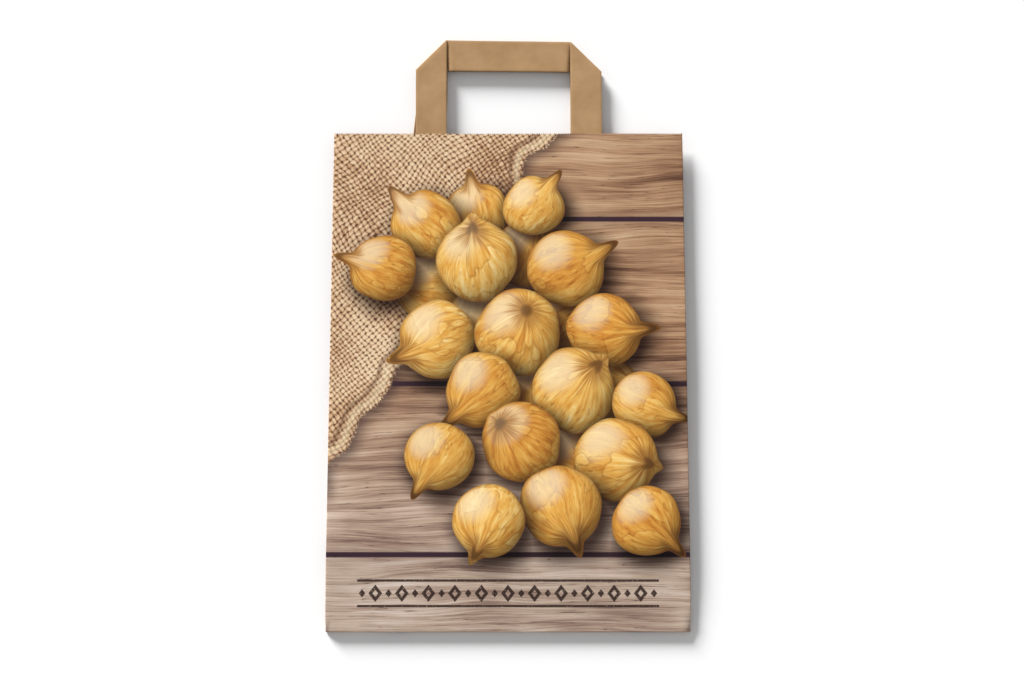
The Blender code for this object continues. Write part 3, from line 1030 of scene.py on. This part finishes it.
        bmesh.ops.remove_doubles(work, verts=work.verts, dist=0.01 * MM)
        LOG.info("open edges of the sheet, all along the mouth: %d", sum(e.is_boundary for e in work.edges))
        work.to_mesh(mesh)
        work.free()
        piece = bpy.data.objects.new(name, mesh)
        bpy.context.scene.collection.objects.link(piece)
        wall = piece.modifiers.new("paper", "SOLIDIFY")
        wall.thickness = self.sheet
        wall.offset = 0.0
        wall.material_offset = 2
        wall.material_offset_rim = 2
        settle(piece)
        return piece


def settle(piece: bpy.types.Object, angle: float = 50.0) -> None:
    """Applies a piece's modifiers, and shades it smooth up to an angle.

    Args:
        piece: the piece.
        angle: edges sharper than this, in degrees, stay sharp.
    """
    bpy.context.view_layer.update()
    made = bpy.data.meshes.new_from_object(piece.evaluated_get(bpy.context.evaluated_depsgraph_get()))
    piece.modifiers.clear()
    piece.data = made
    made.shade_smooth()
    made.set_sharp_from_angle(angle=math.radians(angle))


@dataclass
class FoldedHandle:
    """A flat handle: one folded strip, bent over at 45 degrees at both upper corners.

    Attributes:
        low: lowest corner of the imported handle.
        high: its highest corner.
        mouth: Y of the bag's mouth.
        legs_up: whether the legs lie above the bar, as on the front handle.
        lean_top: how far its left corner is drawn in, towards the middle.
        lean_mouth: how far its left leg is drawn in at the mouth. Below 0 it stands out.
        lean_reach: length over which the one turns to the other.
        curl: how far the outer edge of the left leg curls up at the mouth.
        lift_left: how much further up the bar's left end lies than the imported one.
        lift_right: the same for its right end.
        strip: width of the strip.
        ply: its thickness, of several layers of paper.
        gap: from the middle of the leg to the middle of the bar at a corner.
        dip: how far the bar goes down beside the leg's inner edge, at the bar's lower edge.
        dip_reach: width of that dip.
        sag: how far the handle hangs down at its bar.
        crease_radius: width of the rounded part of a corner.
        bow: height of the strip's slow waves.
        columns: points across the strip.
        leg_rows: points along a leg.
        bar_rows: points along the bar.
    """

    low: Vector
    high: Vector
    mouth: float
    legs_up: bool
    lean_top: float = 0.4 * MM
    lean_mouth: float = 0.9 * MM
    lean_reach: float = 60 * MM
    curl: float = 0.0
    lift_left: float = 2.1 * MM
    lift_right: float = 0.4 * MM
    strip: float = 19.8 * MM
    ply: float = 0.62 * MM
    gap: float = 0.85 * MM
    dip: float = 2.0 * MM
    dip_reach: float = 1.9 * MM
    sag: float = 0.6 * MM
    crease_radius: float = 0.45 * MM
    bow: float = 0.12 * MM
    columns: int = 15
    leg_rows: int = 27
    bar_rows: int = 121

    def place(self, x: np.ndarray, y: np.ndarray, to_fold: np.ndarray, on_leg: bool) -> np.ndarray:
        """Puts places of the flat, even handle in space.

        The strip is level on its glued part and eases down beyond the mouth. At a corner the leg and the
        bar part along a quarter of an ellipse, and beside the leg the bar dips. The left leg leans, and
        the bar slopes, by small amounts that grow evenly from the mouth.

        Args:
            x: places across.
            y: places along the bag.
            to_fold: distance to the corner's crease.
            on_leg: whether the places are on a leg, not on the bar.

        Returns:
            The points.
        """
        hand = 1 if self.legs_up else -1
        outer, reach = self.high.x, self.high.y - self.mouth
        x, y = np.broadcast_arrays(x, y)
        beyond = np.clip((y - self.mouth) / reach, 0.0, 1.0)
        level = self.high.z - self.ply / 2 if self.legs_up else self.low.z + self.ply / 2
        level = level - self.sag * ease(beyond) - hand * self.gap / 2
        near = np.clip(1 - to_fold / self.crease_radius, 0.0, 1.0)
        apart = self.gap / 2 * np.sqrt(1 - near**2) * hand
        bow = self.bow * (np.sin(x / (13 * MM)) + 5 / 6 * np.sin(y / (17 * MM) + x / (40 * MM)))
        z = level + (apart if on_leg else -apart) + bow
        if not on_leg:
            lower = 0.25 + 0.75 * np.clip((self.high.y - y) / self.strip, 0.0, 1.0)
            past_leg = np.clip((outer - self.strip - np.abs(x)) / (self.dip_reach * lower), 0.0, 1.0)
            z = z - hand * self.dip * lower * (1 - past_leg) * ease(to_fold / (4 * MM))
        at_mouth = np.clip((self.mouth + self.lean_reach - y) / self.lean_reach, 0.0, 1.0)
        leftward = np.clip(-x / outer, 0.0, 1.0)
        rim = np.clip(1 - (x + outer) / (5 * MM), 0.0, 1.0)
        z = z + self.curl * rim**2 * at_mouth
        lean = (self.lean_top + (self.lean_mouth - self.lean_top) * at_mouth) * leftward
        lift = (self.lift_left + self.lift_right) / 2 - (self.lift_left - self.lift_right) / 2 * x / outer
        return np.stack([x + lean, y + lift * beyond, z], axis=-1)

    def grids(self) -> list[np.ndarray]:
        """The middle surface of the strip, in order from the foot of the left leg to that of the right.

        A leg runs from its straight foot to the slanted crease. Past the crease the strip is its own mirror
        image across the slant, so it runs along X as the bar.

        Returns:
            The points of the left leg, the bar and the right leg.
        """
        outer, top = self.high.x, self.high.y
        across = np.linspace(0.0, self.strip, self.columns)
        bend = self.crease_radius * math.sqrt(2) * (1 - np.cos(np.radians([0, 30, 60, 90])))
        crease_y = top - self.strip + across
        length = crease_y - self.low.y
        leg_y = self.low.y + np.linspace(0.0, 1.0, self.leg_rows)[:, None] * (length - bend[-1])
        leg_y = np.concatenate([leg_y, crease_y - bend[-2::-1, None]])
        to_fold = (crease_y - leg_y) / math.sqrt(2)
        left = self.place(-outer + across, leg_y, to_fold, True)
        right = self.place(outer - across, leg_y, to_fold, True)[::-1]

        start = -outer + across
        share = np.linspace(0.0, 1.0, self.bar_rows)[:, None]
        middle = start + bend[-1] + share * (-2 * start - 2 * bend[-1])
        bar_x = np.concatenate([start + bend[:-1, None], middle, -start - bend[-2::-1, None]])
        to_fold = np.minimum(bar_x - start, -start - bar_x) / math.sqrt(2)
        bar = self.place(bar_x, crease_y, to_fold, False)
        return [left, bar[1:-1], right]

    def build(self, name: str, material: bpy.types.Material) -> bpy.types.Object:
        """Makes the handle as one closed mesh: the middle surface, thickened along its normals.

        Args:
            name: the piece's name.
            material: its paper.

        Returns:
            The piece.
        """
        middle = np.concatenate(self.grids())
        index = np.arange(middle.shape[0] * middle.shape[1]).reshape(middle.shape[:2])
        quads = np.stack([index[:-1, :-1], index[:-1, 1:], index[1:, 1:], index[1:, :-1]], axis=-1)
        mesh = bpy.data.meshes.new(name)
        mesh.from_pydata(middle.reshape(-1, 3), [], quads.reshape(-1, 4).tolist())
        mesh.materials.append(material)
        piece = bpy.data.objects.new(name, mesh)
        bpy.context.scene.collection.objects.link(piece)
        wall = piece.modifiers.new("plies", "SOLIDIFY")
        wall.thickness = self.ply
        wall.offset = 0.0
        edges = piece.modifiers.new("rounded", "BEVEL")
        edges.width = 0.12 * MM
        edges.segments = 2
        edges.limit_method = "ANGLE"
        edges.angle_limit = math.radians(60)
        settle(piece, 35.0)
        return piece


class LightKind(Enum):
    """The two lights of the studio."""

    KEY = "key"
    FILL = "fill"


@dataclass
class Studio:
    """A white table, a soft key light from the upper left and an even fill.

    Attributes:
        focus: the point of the table in the middle of the picture.
        distance: from it to the camera.
        tilt: of the camera from straight down, in degrees.
        lens: focal length for a 36 mm wide picture, in millimetres.
        key_way: direction to the key light: degrees from +X, and elevation.
        key_spread: how wide the key light looks from the bag, in degrees.
        key_strength: in watts on a square metre that faces it.
        fill: strength of the even light.
        table_half: half the side of the table.
        table_white: how much light the table gives back.
    """

    focus: tuple[float, float] = (0.0024, -0.0077)
    distance: float = 0.887
    tilt: float = 8.92
    lens: float = 50.0
    key_way: tuple[float, float] = (123.0, 19.0)
    key_spread: float = 20.0
    key_strength: float = 6.46
    fill: float = 0.40
    table_half: float = 3.0
    table_white: float = 0.95

    def table(self) -> bpy.types.Object:
        """Makes the white table top, level with the bag's underside."""
        half, white = self.table_half, self.table_white
        corners = [(-half, -half, 0), (half, -half, 0), (half, half, 0), (-half, half, 0)]
        mesh = bpy.data.meshes.new("table")
        mesh.from_pydata(corners, [], [(0, 1, 2, 3)])
        material = bpy.data.materials.new("white_table")
        material.use_nodes = True
        shader = material.node_tree.nodes["Principled BSDF"]
        shader.inputs["Base Color"].default_value = (white, white, white, 1)
        shader.inputs["Roughness"].default_value = 0.9
        shader.inputs["Specular IOR Level"].default_value = 0.1
        mesh.materials.append(material)
        table = bpy.data.objects.new("table", mesh)
        bpy.context.scene.collection.objects.link(table)
        return table

    def light(self) -> None:
        """Adds the key light, far enough off to light the whole table evenly, and the fill."""
        turn, rise = (math.radians(a) for a in self.key_way)
        way = Vector((math.cos(turn) * math.cos(rise), math.sin(turn) * math.cos(rise), math.sin(rise)))
        lamp = bpy.data.lights.new(LightKind.KEY.value, "SUN")
        lamp.angle = math.radians(self.key_spread)
        lamp.energy = self.key_strength
        key = bpy.data.objects.new(LightKind.KEY.value, lamp)
        key.location = way
        key.rotation_euler = (-way).to_track_quat("-Z", "Y").to_euler()
        bpy.context.scene.collection.objects.link(key)
        world = bpy.data.worlds.new(LightKind.FILL.value)
        world.use_nodes = True
        background = world.node_tree.nodes["Background"]
        background.inputs["Color"].default_value = (1, 1, 1, 1)
        background.inputs["Strength"].default_value = self.fill
        bpy.context.scene.world = world

    def camera(self) -> None:
        """Puts the camera where the photograph's was: above the bag, tilted with the bottom fold nearer."""
        tilt = math.radians(self.tilt)
        data = bpy.data.cameras.new("camera")
        data.lens = self.lens
        data.sensor_width = 36.0
        camera = bpy.data.objects.new("camera", data)
        x, y = self.focus
        camera.location = (x, y - self.distance * math.sin(tilt), self.distance * math.cos(tilt))
        camera.rotation_euler = (tilt, 0.0, 0.0)
        bpy.context.scene.collection.objects.link(camera)
        bpy.context.scene.camera = camera


def main() -> None:
    """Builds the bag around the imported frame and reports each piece."""
    logging.basicConfig(level=logging.INFO, format="%(name)s: %(message)s")
    bpy.context.scene.view_settings.view_transform = "Standard"
    kraft = KraftPaper()
    inside = kraft.plain("inside_kraft")
    strip = KraftPaper(light="#B28F68", dark="#A5825B", roughness=0.78, relief=0.2).plain("handle_kraft")
    front = Print().material("front_print", with_picture=True)
    boards = Print().material("board_print", with_picture=False)

    low, high = (Vector(corner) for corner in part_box("bag_body"))
    sheet = FoldedSheet(low, high).build("paper_sheet", [front, boards, inside, inside])
    pieces = [(sheet, "bag_body", PRINTED_SLOT)]
    front_box, back_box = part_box("front_handle"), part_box("back_handle")
    front_strip = FoldedHandle(*map(Vector, front_box), high.y, legs_up=True)
    back_strip = FoldedHandle(
        *map(Vector, back_box),
        high.y,
        legs_up=False,
        lean_top=1.1 * MM,
        lean_mouth=-0.75 * MM,
        lean_reach=21 * MM,
        curl=2.2 * MM,
        lift_left=2.95 * MM,
        lift_right=1.3 * MM,
        sag=0.0,
    )
    pieces.append((front_strip.build("front_strip", strip), "front_handle", PLAIN_SLOT))
    pieces.append((back_strip.build("back_strip", strip), "back_handle", PLAIN_SLOT))
    for piece, node, slot in pieces:
        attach(piece, BODY)
        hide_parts(node)
        LOG.info("%s stands for %s: %d faces", piece.name, node, len(piece.data.polygons))

    studio = Studio()
    studio.table()
    studio.light()
    studio.camera()


if __name__ == "__main__":
    main()
